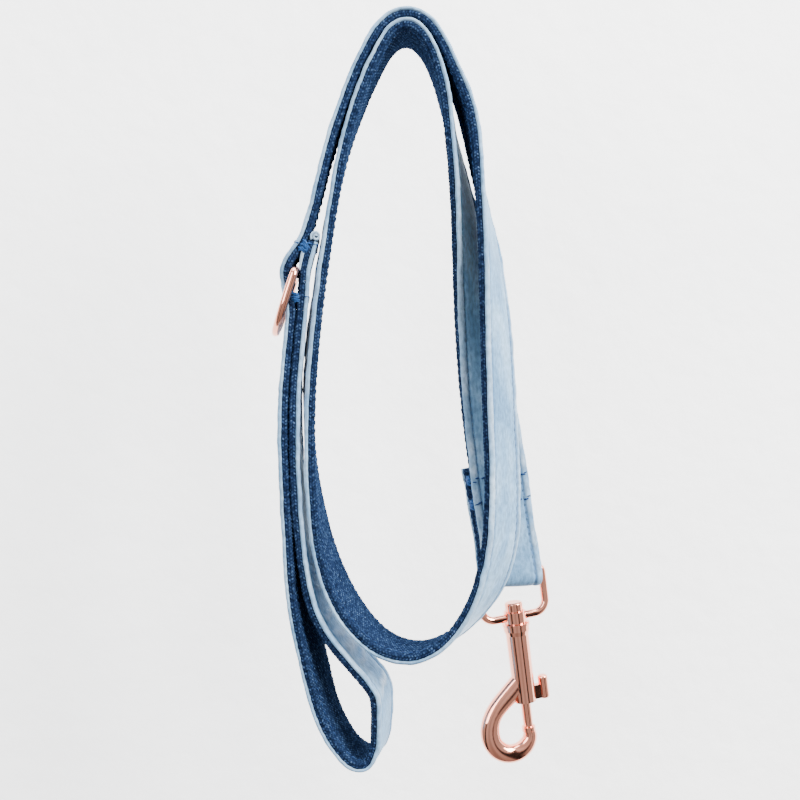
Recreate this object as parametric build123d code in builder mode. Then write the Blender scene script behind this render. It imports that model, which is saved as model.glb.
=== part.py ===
from build123d import *
import os
from math import ceil, cos, radians, sin, tan

# Velvet-faced webbing lead, hung over a hook, with a D-ring and a swivel bolt snap.
# Millimetres. +Z is up, +X is right seen from the front, +Y is away from the viewer.
# The origin is the point the lead hangs from: the underside of the strap on the hook.

# ---------------------------------------------------------------- driving dimensions
strap_width = 25.0
webbing_thick = 2.6
velvet_thick = 1.5

rod_dia = 3.4  # the snap's swivel eye
eye_width = 26.0  # clear width between the eye's legs
eye_drop = 19.5  # from the eye's top bar to the middle of its boss
eye_corner = 5.5
eye_top_corner = 2.2
boss_dia = 9.4
boss_high = 5.0

ring_wire = 3.4
ring_width = 27.0  # clear width inside the D-ring
ring_drop = 25.5  # from the ring's bar to the middle of its bow
ring_corner = 2.8

cap_dia = 7.6
cap_high = 3.9
cap_round = 0.9
stem_dia = 4.2
stem_long = 4.8  # below the washer, inside the barrel
washer_dia = 11.8
washer_thick = 1.0
collar_dia = 11.0
collar_high = 4.0
collar_straight = 2.2  # before it tapers to the barrel
barrel_dia = 9.8
barrel_end_dia = 9.4
barrel_end = 36.8  # from the boss's middle to the barrel's mouth
chamber_dia = 5.6
neck_long = 3.0
arm_thick = 6.4
tip_thick = 5.8
tip_long = 2.0
bolt_dia = 4.2
plunger_dia = 5.4
plunger_long = 11.6
bolt_tip = 48.0  # from the boss's middle to the bolt's tip, and the hook's tip
bolt_stroke = 9.0
stub_high = 5.9
stub_thick = 2.6
stub_low = 36.8  # from the boss's middle to the stub's lower face
stub_inner = 1.0  # from the barrel's axis to the stub's root in the plunger
knob_high = 10.2
knob_low = 37.4
knob_dia = 4.3
knob_out = 9.1  # from the barrel's axis to the knob's
knob_round = 1.1
running = 0.06  # radial clearance of a sliding or turning fit
spring_wire = 0.5
spring_dia = 4.6
spring_pitch = 1.6
thread_dia = 0.7
stitch_long = 2.1
stitch_pitch = 3.0
stitch_count = 8  # across the strap
hem_dia = 3.8

os.makedirs("parts", exist_ok=True)

# ---------------------------------------------------------------- the strap's route
# x, y, z of the seam between webbing and velvet, on the strap's middle line, and the
# heading of the strap's width in degrees: 0 runs front to back, 90 from left to right.
bar_centre = Vector(43.5, 17.8, -223.2)
ring_centre = Vector(-46.9, 0.0, -97.2)
hem_centre = Vector(-38.5, 0.0, -83.3)
pocket_heading = -6  # of the strap's width where it holds the ring

fold_route = [
    (35.0, 18.7, -176.5, 75),
    (36.8, 19.1, -186.5, 75),
    (38.9, 19.6, -198.4, 75),
    (41.2, 20.2, -210.3, 75),
    (41.9, 22.2, -220.2, 75),
    (42.8, 22.7, -227.8, 75),
    (45.3, 13.2, -227.8, 75),
    (44.4, 13.2, -220.2, 75),
    (42.7, 14.6, -210.3, 75),
]
riser_route = [
    (40.9, 14.3, -198.4, 75),
    (39.2, 13.7, -186.5, 75),
    (36.7, 12.0, -169.0, 71),
    (33.3, 9.2, -148.0, 62),
    (30.5, 6.6, -125.0, 53),
    (27.5, 4.2, -100.0, 40),
    (24.4, 2.0, -76.0, 26),
    (21.2, 0.8, -56.5, 15),
    (18.4, 0.3, -42.0, 8),
    (16.2, 0.0, -28.5, 3),
    (13.5, 0.0, -17.5, 1),
    (10.6, 0.0, -8.8, 0),
    (6.6, 0.0, -1.6, 0),
]
left_route = [
    (1.6, 0.0, 2.6, 0),
    (-3.6, 0.0, 2.6, 0),
    (-8.2, 0.0, -0.8, 0),
    (-12.2, 0.0, -7.2, 0),
    (-17.2, 0.0, -17.6, 0),
    (-22.2, 0.0, -30.0, -1),
    (-27.1, 0.0, -45.0, -3),
    (-31.4, 0.0, -65.0, -6),
    (-35.8, 0.0, -92.0, -7),
    (-39.8, 0.0, -120.0, -9),
    (-41.9, 0.0, -149.0, -8),
    (-41.0, 0.0, -177.0, -3),
    (-37.7, 0.0, -201.0, 6),
]
bottom_route = [
    (-33.8, -0.5, -216.5, 12),
    (-28.2, -1.0, -230.0, 16),
    (-20.3, -1.5, -241.8, 16),
    (-9.6, -2.2, -251.0, 14),
    (4.2, -2.8, -253.8, 13),
    (16.6, -3.4, -248.0, 16),
    (26.8, -4.3, -237.0, 25),
    (33.9, -4.8, -224.6, 32),
]
right_route = [
    (38.1, -5.1, -208.0, 35),
    (38.9, -5.1, -186.0, 33),
    (37.9, -4.7, -161.0, 32),
    (37.0, -4.1, -136.0, 31),
    (35.8, -3.2, -111.0, 27),
    (33.7, -2.0, -86.0, 18),
    (30.4, -0.8, -65.0, 7),
    (28.2, -0.2, -50.0, 0),
    (26.4, 0.0, -38.8, -3),
    (24.7, 0.0, -31.0, -4),
    (22.7, 0.0, -25.0, -3),
    (20.5, 0.0, -19.4, -2),
    (18.0, 0.0, -13.4, -1),
    (13.4, 0.0, -3.2, 0),
    (8.0, 0.0, 4.2, 0),
]
down_route = [
    (0.8, 0.0, 7.4, 0),
    (-6.9, 0.0, 6.1, 0),
    (-12.9, 0.0, 0.7, 0),
    (-17.4, 0.0, -7.0, 0),
    (-22.6, 0.0, -17.2, -1),
    (-27.5, 0.0, -29.8, -2),
    (-33.3, 0.0, -45.6, -4),
    (-37.5, 0.0, -62.6, -5),
    (-40.8, 0.0, -75.4, -6),
    (-44.0, 0.0, -85.0, -6),
    (-48.7, 0.0, -90.8, -6),
    (-52.0, 0.0, -97.0, -6),
    (-50.3, 0.0, -104.6, -6),
]
handle_route = [
    (-48.8, 0.0, -112.5, -6),
    (-49.8, 0.0, -125.0, -5),
    (-51.6, 0.0, -145.0, -4),
    (-52.0, 0.0, -168.0, -4),
    (-50.8, 0.0, -190.0, -3),
    (-48.6, 0.0, -211.0, 2),
    (-46.1, 0.0, -230.0, 8),
    (-41.8, 0.0, -248.0, 13),
    (-37.8, 0.0, -264.0, 13),
    (-34.2, 0.0, -277.5, 12),
    (-28.4, 0.0, -288.8, 10),
    (-22.2, 0.0, -296.0, 10),
    (-15.0, 0.0, -297.0, 11),
    (-10.9, 0.0, -290.4, 11),
    (-10.6, 0.0, -282.0, 11),
    (-10.3, 0.0, -274.0, 12),
    (-10.9, 0.0, -268.0, 12),
    (-14.2, 0.0, -263.0, 12),
    (-20.4, 0.0, -256.2, 11),
    (-29.6, 0.0, -245.6, 11),
    (-36.6, 0.0, -233.6, 10),
    (-40.0, 0.0, -219.0, 8),
    (-43.1, 0.0, -202.0, 4),
    (-45.5, 0.0, -181.0, -1),
    (-46.4, 0.0, -149.0, -4),
    (-44.6, 0.0, -126.0, -5),
    (-43.4, 0.0, -112.0, -6),
    (-43.0, 0.0, -104.0, -6),
    (-42.2, 0.0, -95.0, -6),
    (-39.2, 0.0, -85.4, -6),
]
route = (
    fold_route + riser_route + left_route + bottom_route
    + right_route + down_route + handle_route
)


def corner_radii(points):
    """Each corner's arc, as large as its two runs allow."""
    radii = []
    for before, here, after in zip(points, points[1:], points[2:]):
        run_in = here - before
        run_out = after - here
        turn = run_in.get_angle(run_out)
        radii.append(0.45 * min(run_in.length, run_out.length) / tan(radians(turn / 2)))
    return radii


def lay_route(points):
    """Straight runs joined by tangent arcs through the points, as edges in order."""
    corners = [Vector(*place[:3]) for place in points]
    radii = corner_radii(corners)
    with BuildLine() as line:
        FilletPolyline(*corners, radius=radii)
    print("smallest bends", sorted(round(radius, 1) for radius in radii)[:8])
    return line.wires()[0].order_edges()


def heading_marks(edges, points):
    """Pairs of length and heading: each inner point's heading is that of its arc's middle."""
    marks = []
    length = 0
    for number, edge in enumerate(edges):
        if number % 2:
            marks.append((length + edge.length / 2, points[(number + 1) // 2][3]))
        length += edge.length
    return [(0, points[0][3])] + marks + [(length, points[-1][3])]


def heading_at(length, marks):
    """The heading of the strap's width in radians, a length along it."""
    for (low, heading_low), (high, heading_high) in zip(marks, marks[1:]):
        if length <= high:
            share = (length - low) / (high - low)
            return radians(heading_low + share * (heading_high - heading_low))
    return radians(marks[-1][1])


def section_plane(place, onward, heading):
    """The plane across the strap: x along its width, y to the webbing side, z onward."""
    across = Vector(sin(heading), cos(heading), 0)
    across = (across - onward * across.dot(onward)).normalized()
    return Plane(place, x_dir=across, z_dir=onward)


def strap_planes(edges, points, turn_step=12, length_step=14):
    """Planes across the strap, close together where it bends and apart where it is straight."""
    marks = heading_marks(edges, points)
    planes = []
    length = 0
    for edge in edges:
        turn = (edge % 0).get_angle(edge % 1)
        steps = max(1, ceil(turn / turn_step), ceil(edge.length / length_step))
        for k in range(steps):
            heading = heading_at(length + edge.length * k / steps, marks)
            planes.append(section_plane(edge @ (k / steps), edge % (k / steps), heading))
        length += edge.length
    planes.append(section_plane(edges[-1] @ 1, edges[-1] % 1, radians(points[-1][3])))
    return planes


strap_edges = lay_route(route)
strap_length = sum(edge.length for edge in strap_edges)
print("strap length", round(strap_length, 1))
sections = strap_planes(strap_edges, route)


def strap_layer(planes, inner, outer):
    """A layer along the strap between two heights above the seam, towards the webbing."""
    with BuildPart() as layer:
        for plane in planes:
            with BuildSketch(plane):
                with Locations((0, (inner + outer) / 2)):
                    Rectangle(strap_width, outer - inner)
        loft(ruled=True, clean=False)
    return layer.part


with BuildPart() as strap_webbing:
    add(strap_layer(sections, 0, webbing_thick))
strap_webbing.part.label = "strap_webbing"
export_step(strap_webbing.part, "parts/strap_webbing.step")

hem_across = sections[-1].x_dir
with BuildPart() as velvet_facing:
    add(strap_layer(sections, -velvet_thick, 0))
    with BuildSketch(Plane(hem_centre - hem_across * strap_width / 2, z_dir=hem_across)):
        Circle(hem_dia / 2)
    extrude(amount=strap_width)
velvet_facing.part.label = "velvet_facing"
export_step(velvet_facing.part, "parts/velvet_facing.step")

# ---------------------------------------------------------------- thread
# where the rows cross each layer of the strap
fold_rows = [(40.0, 14.0, -191.8), (38.4, 13.3, -181.4), (38.5, 19.5, -191.8), (36.9, 19.1, -181.4)]
pocket_rows = [(-44.8, 0, -86.2), (-49.0, 0, -108.6), (-39.6, 0, -87.0), (-43.2, 0, -107.6)]


def stitch_row(near):
    """A row of stitches across the strap, half sunk in its velvet, nearest to a point."""
    section = min(sections, key=lambda plane: (plane.origin - Vector(*near)).length)
    face = Plane(section.origin - section.y_dir * velvet_thick, section.x_dir, section.y_dir)
    with BuildPart(face) as row:
        with GridLocations(stitch_pitch, 0, stitch_count, 1):
            Box(stitch_long, thread_dia, thread_dia)
    return row.part


with BuildPart() as fold_stitches:
    for near in fold_rows:
        add(stitch_row(near))
fold_stitches.part.label = "fold_stitches"
export_step(fold_stitches.part, "parts/fold_stitches.step")

with BuildPart() as pocket_stitches:
    for near in pocket_rows:
        add(stitch_row(near))
pocket_stitches.part.label = "pocket_stitches"
export_step(pocket_stitches.part, "parts/pocket_stitches.step")

# ---------------------------------------------------------------- planes of the hardware
eye_right = Vector(0.957, 0.259, 0.1295).normalized()
snap_down = Vector(0.1175, 0.0318, -0.9926).normalized()
snap_down = (snap_down - eye_right * snap_down.dot(eye_right)).normalized()
boss_centre = bar_centre + snap_down * eye_drop

# z runs down the barrel, x to the knob's side
SNAP = Plane(boss_centre, x_dir=eye_right, z_dir=snap_down)
# the eye and the hook lie in this plane: x to the knob's side, y up, z to the front
FACE = Plane(boss_centre, x_dir=eye_right, z_dir=eye_right.cross(-snap_down))

ring_across = Vector(sin(radians(pocket_heading)), cos(radians(pocket_heading)), 0)
ring_lean = radians(18)  # from hanging straight down, away from the strap
ring_down = Vector(-sin(ring_lean), 0, -cos(ring_lean))
ring_down = (ring_down - ring_across * ring_down.dot(ring_across)).normalized()
RING = Plane(ring_centre, x_dir=ring_across, z_dir=ring_across.cross(-ring_down))


# ---------------------------------------------------------------- D-ring
ring_half = (ring_width + ring_wire) / 2
ring_leg = ring_drop - ring_half
with BuildPart() as d_ring:
    with BuildLine(RING) as ring_line:
        FilletPolyline(
            (-ring_half, -ring_leg), (-ring_half, 0), (ring_half, 0), (ring_half, -ring_leg),
            radius=ring_corner,
        )
        ThreePointArc((ring_half, -ring_leg), (0, -ring_drop), (-ring_half, -ring_leg))
    with BuildSketch(Plane(ring_line.wires()[0] @ 0, z_dir=ring_line.wires()[0] % 0)):
        Circle(ring_wire / 2)
    sweep()
d_ring.part.label = "d_ring"
export_step(d_ring.part, "parts/d_ring.step")

# ---------------------------------------------------------------- swivel eye
eye_half = (eye_width + rod_dia) / 2
with BuildPart() as swivel_eye:
    with BuildLine(FACE) as eye_line:
        FilletPolyline(
            (-eye_half, eye_drop), (eye_half, eye_drop), (eye_half, 0), (-eye_half, 0),
            radius=[eye_top_corner, eye_top_corner, eye_corner, eye_corner],
            close=True,
        )
    with BuildSketch(Plane(eye_line.wires()[0] @ 0, z_dir=eye_line.wires()[0] % 0)):
        Circle(rod_dia / 2)
    sweep()
    with BuildSketch(SNAP.offset(-boss_high / 2)):
        Circle(boss_dia / 2)
    extrude(amount=boss_high)
    with BuildSketch(SNAP.offset(-boss_high)):
        Circle(stem_dia / 2 + running)
    extrude(amount=2 * boss_high, mode=Mode.SUBTRACT)
swivel_eye.part.label = "swivel_eye"
export_step(swivel_eye.part, "parts/swivel_eye.step")

# ---------------------------------------------------------------- swivel rivet and washer
cap_low = -boss_high / 2 - running  # the cap's under face, from the boss's middle
washer_top = boss_high / 2 + running
collar_top = washer_top + washer_thick
stem_end = collar_top + stem_long
with BuildPart() as swivel_rivet:
    with BuildSketch(SNAP.offset(cap_low - cap_high)):
        Circle(cap_dia / 2)
    extrude(amount=cap_high)
    fillet(swivel_rivet.edges().sort_by(Axis(boss_centre, snap_down))[0], cap_round)
    with BuildSketch(SNAP.offset(cap_low)):
        Circle(stem_dia / 2)
    extrude(amount=stem_end - cap_low)
swivel_rivet.part.label = "swivel_rivet"
export_step(swivel_rivet.part, "parts/swivel_rivet.step")

with BuildPart() as swivel_washer:
    with BuildSketch(SNAP.offset(washer_top)):
        Circle(washer_dia / 2)
        Circle(stem_dia / 2, mode=Mode.SUBTRACT)
    extrude(amount=washer_thick)
swivel_washer.part.label = "swivel_washer"
export_step(swivel_washer.part, "parts/swivel_washer.step")

# ---------------------------------------------------------------- hook body
# the hook's middle line in FACE, with the section's width and thickness there, and the
# line's heading in degrees
hook_stations = [
    (-0.4, -26.8, 7.4, arm_thick, 225),
    (-4.4, -30.6, 8.6, arm_thick, 225),
    (-9.4, -34.6, 8.5, arm_thick, 226),
    (-14.3, -39.0, 7.9, arm_thick, 234),
    (-17.3, -44.8, 8.2, arm_thick, 257),
    (-17.3, -50.9, 8.3, arm_thick, 282),
    (-13.8, -56.2, 8.2, arm_thick, 325),
    (-8.3, -58.2, 7.8, arm_thick, 2),
    (-3.0, -56.7, 7.2, 6.2, 35),
    (0.0, -53.0, 6.2, 5.8, 68),
    (0.2, -49.8, 5.5, tip_thick, 87),
]
chamber_top = stem_end
neck_top = barrel_end - neck_long
stub_top = stub_low - stub_high
slot_top = stub_top - bolt_stroke - 5 * running


def hook_section(x, y, width, thick, heading):
    """An oval across the hook's middle line."""
    onward = FACE.x_dir * cos(radians(heading)) + FACE.y_dir * sin(radians(heading))
    place = FACE.from_local_coords(Vector(x, y, 0))
    with BuildSketch(Plane(place, x_dir=FACE.z_dir, z_dir=onward)) as section:
        Ellipse(thick / 2, width / 2)
    return section.sketch


with BuildPart() as hook_body:
    with BuildSketch(SNAP.offset(collar_top)):
        Circle(collar_dia / 2)
    with BuildSketch(SNAP.offset(collar_top + collar_straight)):
        Circle(collar_dia / 2)
    loft()
    with BuildSketch(SNAP.offset(collar_top + collar_straight)):
        Circle(collar_dia / 2)
    with BuildSketch(SNAP.offset(collar_top + collar_high)):
        Circle(barrel_dia / 2)
    loft()
    with BuildSketch(SNAP.offset(collar_top + collar_high)):
        Circle(barrel_dia / 2)
    with BuildSketch(SNAP.offset(barrel_end)):
        Circle(barrel_end_dia / 2)
    loft()
    loft([hook_section(*station) for station in hook_stations])
    with BuildSketch(SNAP.offset(bolt_tip)):
        Circle(tip_thick / 2)
    extrude(amount=tip_long)
    with BuildSketch(SNAP.offset(chamber_top)):
        Circle(chamber_dia / 2)
    extrude(amount=neck_top - chamber_top, mode=Mode.SUBTRACT)
    with BuildSketch(SNAP.offset(collar_top)):
        Circle(stem_dia / 2)
    extrude(amount=stem_long, mode=Mode.SUBTRACT)
    with BuildSketch(SNAP.offset(neck_top)):
        Circle(bolt_dia / 2 + running)
    extrude(amount=bolt_tip - neck_top, mode=Mode.SUBTRACT)
    with BuildSketch(SNAP.offset(slot_top)):
        with Locations((barrel_dia / 2, 0)):
            Rectangle(barrel_dia, stub_thick + 4 * running)
    extrude(amount=stub_low + 2 * running - slot_top, mode=Mode.SUBTRACT)
hook_body.part.label = "hook_body"
export_step(hook_body.part, "parts/hook_body.step")

# ---------------------------------------------------------------- thumb knob
with BuildPart() as thumb_knob:
    with BuildSketch(SNAP.offset(knob_low - knob_high)):
        with Locations((knob_out, 0)):
            Circle(knob_dia / 2)
    extrude(amount=knob_high)
    fillet(thumb_knob.edges().filter_by(GeomType.CIRCLE), knob_round)
    with BuildSketch(SNAP.offset(stub_top)):
        with Locations(((stub_inner + knob_out) / 2, 0)):
            Rectangle(knob_out - stub_inner, stub_thick)
    extrude(amount=stub_high)
thumb_knob.part.label = "thumb_knob"
export_step(thumb_knob.part, "parts/thumb_knob.step")

# ---------------------------------------------------------------- bolt and its spring
plunger_top = neck_top - plunger_long
with BuildPart() as bolt:
    with BuildSketch(SNAP.offset(plunger_top)):
        Circle(plunger_dia / 2)
    extrude(amount=plunger_long - running)
    with BuildSketch(SNAP.offset(plunger_top)):
        Circle(bolt_dia / 2)
    extrude(amount=bolt_tip - plunger_top - running)
    add(thumb_knob.part, mode=Mode.SUBTRACT)
bolt.part.label = "bolt"
export_step(bolt.part, "parts/bolt.step")

spring_low = plunger_top - spring_wire / 2
spring_high = chamber_top + spring_wire / 2
with BuildPart() as bolt_spring:
    with BuildLine() as coil:
        Helix(
            spring_pitch, spring_low - spring_high, (spring_dia - spring_wire) / 2,
            center=boss_centre + snap_down * spring_high, direction=snap_down,
        )
    with BuildSketch(Plane(coil.wires()[0] @ 0, z_dir=coil.wires()[0] % 0)):
        Circle(spring_wire / 2)
    sweep(is_frenet=True)
bolt_spring.part.label = "bolt_spring"
export_step(bolt_spring.part, "parts/bolt_spring.step")
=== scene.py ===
import math

import bpy
import numpy as np
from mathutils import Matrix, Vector

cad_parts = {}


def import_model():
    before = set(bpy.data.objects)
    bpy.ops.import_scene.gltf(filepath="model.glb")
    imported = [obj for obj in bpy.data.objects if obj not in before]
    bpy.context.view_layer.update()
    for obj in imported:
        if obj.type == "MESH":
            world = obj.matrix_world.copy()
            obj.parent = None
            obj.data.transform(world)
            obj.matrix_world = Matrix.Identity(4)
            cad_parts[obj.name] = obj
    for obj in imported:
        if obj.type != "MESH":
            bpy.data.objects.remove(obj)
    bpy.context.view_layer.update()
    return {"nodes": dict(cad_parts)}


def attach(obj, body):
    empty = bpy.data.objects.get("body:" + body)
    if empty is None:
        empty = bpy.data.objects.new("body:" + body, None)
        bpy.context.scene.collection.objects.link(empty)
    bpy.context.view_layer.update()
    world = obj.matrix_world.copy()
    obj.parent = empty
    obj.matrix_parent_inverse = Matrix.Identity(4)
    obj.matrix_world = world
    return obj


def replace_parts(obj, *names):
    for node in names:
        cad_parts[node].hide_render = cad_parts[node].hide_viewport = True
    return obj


# Velvet-faced webbing lead, hung in a loop. Metres, in the CAD model's frame:
# +Z up, +X right seen from the front, +Y away from the viewer.

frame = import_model()

MM = 0.001

# ---------------------------------------------------------------- driving dimensions
STRAP_WIDTH = 25 * MM
HALF_WIDTH = STRAP_WIDTH / 2
WEBBING_THICK = 2.6 * MM
VELVET_THICK = 1.5 * MM

PICK_PITCH = 1.35 * MM  # of the weave's pebbles, along the strap
RIB_PITCH = 1.2 * MM  # of the weave's columns, across the strap
WEAVE_RISE = 0.36 * MM

SEAM_INSET = 3.0 * MM  # from the strap's edge to its row of edge stitching
SEAM_PITCH = 3.2 * MM
SEAM_STITCH = 2.3 * MM
SEAM_THREAD = 0.42 * MM

ROW_PITCH = 3.0 * MM  # of the stitch rows that cross the strap
ROW_STITCH = 2.2 * MM
ROW_COUNT = 8
ROW_THREAD = 0.75 * MM
KNOT_THREAD = 0.65 * MM

# ---------------------------------------------------------------- the strap's route
# x, y, z of the seam between webbing and velvet, on the strap's middle line, and the
# heading of the strap's width in degrees: 0 runs front to back, 90 from left to right.
FOLD_ROUTE = [
    (0.0350, 0.0187, -0.1765, 75),
    (0.0368, 0.0191, -0.1865, 75),
    (0.0389, 0.0196, -0.1984, 75),
    (0.0412, 0.0202, -0.2103, 75),
    (0.0419, 0.0222, -0.2202, 75),
    (0.0428, 0.0227, -0.2278, 75),
    (0.0453, 0.0132, -0.2278, 75),
    (0.0444, 0.0132, -0.2202, 75),
    (0.0427, 0.0146, -0.2103, 75),
]
RISER_ROUTE = [
    (0.0409, 0.0143, -0.1984, 75),
    (0.0392, 0.0137, -0.1865, 75),
    (0.0367, 0.0120, -0.1690, 71),
    (0.0333, 0.0092, -0.1480, 62),
    (0.0305, 0.0066, -0.1250, 53),
    (0.0275, 0.0042, -0.1000, 40),
    (0.0244, 0.0020, -0.0760, 26),
    (0.0212, 0.0008, -0.0565, 15),
    (0.0184, 0.0003, -0.0420, 8),
    (0.0162, 0.0000, -0.0285, 3),
    (0.0135, 0.0000, -0.0175, 1),
    (0.0106, 0.0000, -0.0088, 0),
    (0.0066, 0.0000, -0.0016, 0),
]
LEFT_ROUTE = [
    (0.0016, 0.0000, 0.0026, 0),
    (-0.0036, 0.0000, 0.0026, 0),
    (-0.0082, 0.0000, -0.0008, 0),
    (-0.0122, 0.0000, -0.0072, 0),
    (-0.0172, 0.0000, -0.0176, 0),
    (-0.0222, 0.0000, -0.0300, -1),
    (-0.0271, 0.0000, -0.0450, -3),
    (-0.0314, 0.0000, -0.0650, -6),
    (-0.0358, 0.0000, -0.0920, -7),
    (-0.0398, 0.0000, -0.1200, -9),
    (-0.0419, 0.0000, -0.1490, -8),
    (-0.0410, 0.0000, -0.1770, -3),
    (-0.0377, 0.0000, -0.2010, 6),
]
BOTTOM_ROUTE = [
    (-0.0338, -0.0005, -0.2165, 12),
    (-0.0282, -0.0010, -0.2300, 16),
    (-0.0203, -0.0015, -0.2418, 16),
    (-0.0096, -0.0022, -0.2510, 14),
    (0.0042, -0.0028, -0.2538, 13),
    (0.0166, -0.0034, -0.2480, 16),
    (0.0268, -0.0043, -0.2370, 25),
    (0.0339, -0.0048, -0.2246, 32),
]
RIGHT_ROUTE = [
    (0.0381, -0.0051, -0.2080, 35),
    (0.0389, -0.0051, -0.1860, 33),
    (0.0379, -0.0047, -0.1610, 32),
    (0.0370, -0.0041, -0.1360, 31),
    (0.0358, -0.0032, -0.1110, 27),
    (0.0337, -0.0020, -0.0860, 18),
    (0.0304, -0.0008, -0.0650, 7),
    (0.0282, -0.0002, -0.0500, 0),
    (0.0264, 0.0000, -0.0388, -3),
    (0.0247, 0.0000, -0.0310, -4),
    (0.0227, 0.0000, -0.0250, -3),
    (0.0205, 0.0000, -0.0194, -2),
    (0.0180, 0.0000, -0.0134, -1),
    (0.0134, 0.0000, -0.0032, 0),
    (0.0080, 0.0000, 0.0042, 0),
]
DOWN_ROUTE = [
    (0.0008, 0.0000, 0.0074, 0),
    (-0.0069, 0.0000, 0.0061, 0),
    (-0.0129, 0.0000, 0.0007, 0),
    (-0.0174, 0.0000, -0.0070, 0),
    (-0.0226, 0.0000, -0.0172, -1),
    (-0.0275, 0.0000, -0.0298, -2),
    (-0.0333, 0.0000, -0.0456, -4),
    (-0.0375, 0.0000, -0.0626, -5),
    (-0.0408, 0.0000, -0.0754, -6),
    (-0.0440, 0.0000, -0.0850, -6),
    (-0.0487, 0.0000, -0.0908, -6),
    (-0.0520, 0.0000, -0.0970, -6),
    (-0.0503, 0.0000, -0.1046, -6),
]
HANDLE_ROUTE = [
    (-0.0488, 0.0000, -0.1125, -6),
    (-0.0498, 0.0000, -0.1250, -5),
    (-0.0516, 0.0000, -0.1450, -4),
    (-0.0520, 0.0000, -0.1680, -4),
    (-0.0508, 0.0000, -0.1900, -3),
    (-0.0486, 0.0000, -0.2110, 2),
    (-0.0461, 0.0000, -0.2300, 8),
    (-0.0418, 0.0000, -0.2480, 13),
    (-0.0378, 0.0000, -0.2640, 13),
    (-0.0342, 0.0000, -0.2775, 12),
    (-0.0284, 0.0000, -0.2888, 10),
    (-0.0222, 0.0000, -0.2960, 10),
    (-0.0150, 0.0000, -0.2970, 11),
    (-0.0109, 0.0000, -0.2904, 11),
    (-0.0106, 0.0000, -0.2820, 11),
    (-0.0103, 0.0000, -0.2740, 12),
    (-0.0109, 0.0000, -0.2680, 12),
    (-0.0142, 0.0000, -0.2630, 12),
    (-0.0204, 0.0000, -0.2562, 11),
    (-0.0296, 0.0000, -0.2456, 11),
    (-0.0366, 0.0000, -0.2336, 10),
    (-0.0400, 0.0000, -0.2190, 8),
    (-0.0431, 0.0000, -0.2020, 4),
    (-0.0455, 0.0000, -0.1810, -1),
    (-0.0464, 0.0000, -0.1490, -4),
    (-0.0446, 0.0000, -0.1260, -5),
    (-0.0434, 0.0000, -0.1120, -6),
    (-0.0430, 0.0000, -0.1040, -6),
    (-0.0422, 0.0000, -0.0950, -6),
    (-0.0392, 0.0000, -0.0854, -6),
]
ROUTE = (
    FOLD_ROUTE + RISER_ROUTE + LEFT_ROUTE + BOTTOM_ROUTE
    + RIGHT_ROUTE + DOWN_ROUTE + HANDLE_ROUTE
)
LINE_STEPS = 16  # of the smooth line, from one point of the route to the next


# ---------------------------------------------------------------- the strap's line
def smooth_curve(name, points):
    """A NURBS curve of order 3 from its first point to its last."""
    curve = bpy.data.curves.new(name, "CURVE")
    curve.dimensions = "3D"
    spline = curve.splines.new("NURBS")
    spline.points.add(len(points) - 1)
    for point, place in zip(spline.points, points):
        point.co = (*place, 1)
    spline.order_u = 3
    spline.use_endpoint_u = True
    spline.resolution_u = LINE_STEPS
    return curve


def points_along(name, points):
    """The points along that smooth curve."""
    carrier = bpy.data.objects.new(name, smooth_curve(name, points))
    mesh = bpy.data.meshes.new_from_object(carrier)
    line = np.array([vertex.co for vertex in mesh.vertices])
    bpy.data.meshes.remove(mesh)
    bpy.data.curves.remove(carrier.data)
    return line


def unit(vectors):
    return vectors / np.linalg.norm(vectors, axis=-1, keepdims=True)


LINE = points_along("strap_line", [place[:3] for place in ROUTE])
# the headings follow a curve with the same steps, so the two go together point by point
HEADINGS = np.radians(
    points_along("strap_headings", [(place[3], number, 0) for number, place in enumerate(ROUTE)])[:, 0]
)
ALONG = np.concatenate([[0], np.cumsum(np.linalg.norm(np.diff(LINE, axis=0), axis=1))])
STRAP_LENGTH = ALONG[-1]
ONWARD = unit(np.gradient(LINE, ALONG, axis=0))
ACROSS = np.stack([np.sin(HEADINGS), np.cos(HEADINGS), np.zeros(len(LINE))], axis=1)
ACROSS = unit(ACROSS - ONWARD * (ACROSS * ONWARD).sum(1, keepdims=True))
WEBBING_SIDE = np.cross(ONWARD, ACROSS)


def blended(values, lengths):
    return np.stack([np.interp(lengths, ALONG, values[:, k]) for k in range(3)], axis=-1)


def on_strap(lengths, across, rise):
    """Points of the strap: a length along it, across its width, and a rise from its seam
    towards the webbing side."""
    lengths, across, rise = np.broadcast_arrays(lengths, across, rise)
    return (
        blended(LINE, lengths)
        + unit(blended(ACROSS, lengths)) * across[..., None]
        + unit(blended(WEBBING_SIDE, lengths)) * rise[..., None]
    )


def nearest_length(place):
    """The length along the strap at which its line passes nearest to a point."""
    return ALONG[np.linalg.norm(LINE - np.array(place), axis=1).argmin()]


# ---------------------------------------------------------------- randomness and waves
def wander(lengths, period, seed):
    """A smooth curve through random values from -1 to 1, a period apart."""
    knots = np.random.default_rng(seed).uniform(-1, 1, int(STRAP_LENGTH / period) + 4)
    at = np.clip(lengths / period, 0, len(knots) - 2)
    low = at.astype(int)
    share = at - low
    share = share * share * (3 - 2 * share)
    return knots[low] * (1 - share) + knots[low + 1] * share


def bump(distance, width):
    """1 at no distance, and smoothly 0 from that width on."""
    share = np.clip(1 - np.abs(distance) / width, 0, 1)
    return share * share * (3 - 2 * share)


# ---------------------------------------------------------------- meshes
def finished(name, mesh, material, body):
    """The mesh as a smooth piece on its body."""
    mesh.materials.append(material)
    mesh.shade_smooth()
    piece = bpy.data.objects.new(name, mesh)
    bpy.context.scene.collection.objects.link(piece)
    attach(piece, body)
    return piece


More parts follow.
